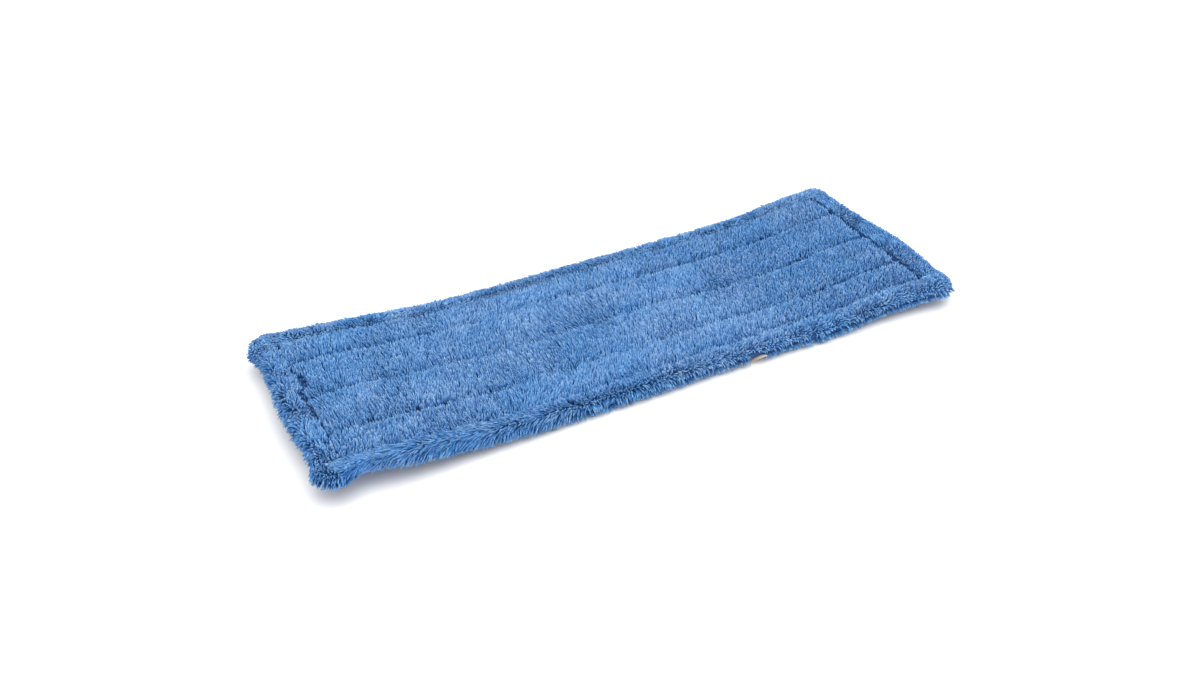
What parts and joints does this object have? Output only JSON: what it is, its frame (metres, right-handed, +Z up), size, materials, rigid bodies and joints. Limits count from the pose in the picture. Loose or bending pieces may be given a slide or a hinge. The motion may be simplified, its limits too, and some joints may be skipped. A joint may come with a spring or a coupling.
{
  "type": "flat mop pad",
  "caption": "Rectangular microfibre flat mop pad, pile side up, with quilted channels, rolled hems and an open pocket under each end for a folding holder.",
  "frame": {"origin": "under the centre of the pad, on the surface that the two pocket panels rest on", "axes": "+X along the pad's length, +Y across its width to the far edge, +Z up out of the pile"},
  "size_m": [0.43, 0.15, 0.0182],
  "materials": {
    "pile_cloth": "dense short twisted microfibre pile",
    "core_felt": "soft needled felt",
    "backing_cloth": "plain woven polyester",
    "pocket_cloth": "dense woven polyester, slight sheen",
    "seam_thread": "twisted polyester sewing thread",
    "label_cloth": "blank woven ribbon"
  },
  "bodies": {
    "left_half": {"left_absorbent_core": "core_felt", "left_backing_cloth": "backing_cloth", "left_end_hem": "pile_cloth", "left_end_seam_thread": "seam_thread", "left_face_cloth": "pile_cloth", "left_far_border_thread": "seam_thread", "left_far_hem": "pile_cloth", "left_far_quilting_thread": "seam_thread", "left_middle_quilting_thread": "seam_thread", "left_near_border_thread": "seam_thread", "left_near_hem": "pile_cloth", "left_near_quilting_thread": "seam_thread", "left_pocket_bartacks": "seam_thread", "left_pocket_mouth_hem": "pocket_cloth", "left_pocket_panel": "pocket_cloth", "left_pocket_seam_thread": "seam_thread"},
    "right_half": {"right_absorbent_core": "core_felt", "right_backing_cloth": "backing_cloth", "right_care_label": "label_cloth", "right_end_hem": "pile_cloth", "right_end_seam_thread": "seam_thread", "right_face_cloth": "pile_cloth", "right_far_border_thread": "seam_thread", "right_far_hem": "pile_cloth", "right_far_quilting_thread": "seam_thread", "right_middle_quilting_thread": "seam_thread", "right_near_border_thread": "seam_thread", "right_near_hem": "pile_cloth", "right_near_quilting_thread": "seam_thread", "right_pocket_bartacks": "seam_thread", "right_pocket_mouth_hem": "pocket_cloth", "right_pocket_panel": "pocket_cloth", "right_pocket_seam_thread": "seam_thread"}
  },
  "joints": [
    {"name": "pad_fold", "type": "hinge", "parent": "left_half", "child": "right_half", "pos_m": [0, 0, 0.0066], "axis": [0, 1, 0], "range_deg": [0, 160]}
  ]
}
